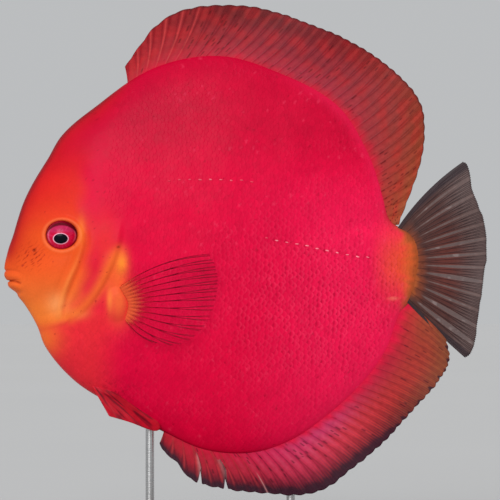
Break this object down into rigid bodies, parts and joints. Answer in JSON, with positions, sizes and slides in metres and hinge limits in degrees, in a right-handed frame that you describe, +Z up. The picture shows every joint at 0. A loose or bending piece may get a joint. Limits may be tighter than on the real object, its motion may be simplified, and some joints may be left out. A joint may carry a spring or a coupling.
{
  "type": "discus fish",
  "caption": "Life-size still model of a red discus fish, its round flat body and ridged fins spread as in swimming, held over a wooden base by slim steel rods.",
  "frame": {"origin": "on the floor, under the middle of the whole model", "axes": "+Z is up, the fish faces -X, and its left side faces -Y"},
  "size_m": [0.1695, 0.078, 0.1896],
  "materials": {
    "face": "satin, orange shading to red",
    "body": "satin, crimson with fine scales",
    "tail_root": "satin, orange",
    "fin": "satin, brown red with rays",
    "tail_fin": "satin, smoky grey with rays",
    "clear_fin": "thin red membrane with rays",
    "eye": "glossy, crimson iris round a black pupil",
    "wood": "dark satin varnish",
    "steel": "brushed"
  },
  "bodies": {
    "root": {"head": "face", "gill_cover_left": "face", "gill_cover_right": "face", "eye_left": "eye", "eye_right": "eye", "torso": "body", "tail_root": "tail_root", "dorsal_fin": "fin", "anal_fin": "fin", "tail_fin": "tail_fin", "pectoral_fin_left": "clear_fin", "pectoral_fin_right": "clear_fin", "pelvic_fin_left": "fin", "pelvic_fin_right": "fin", "stand_base": "wood", "stand_rod_front": "steel", "stand_rod_rear": "steel"}
  },
  "joints": []
}
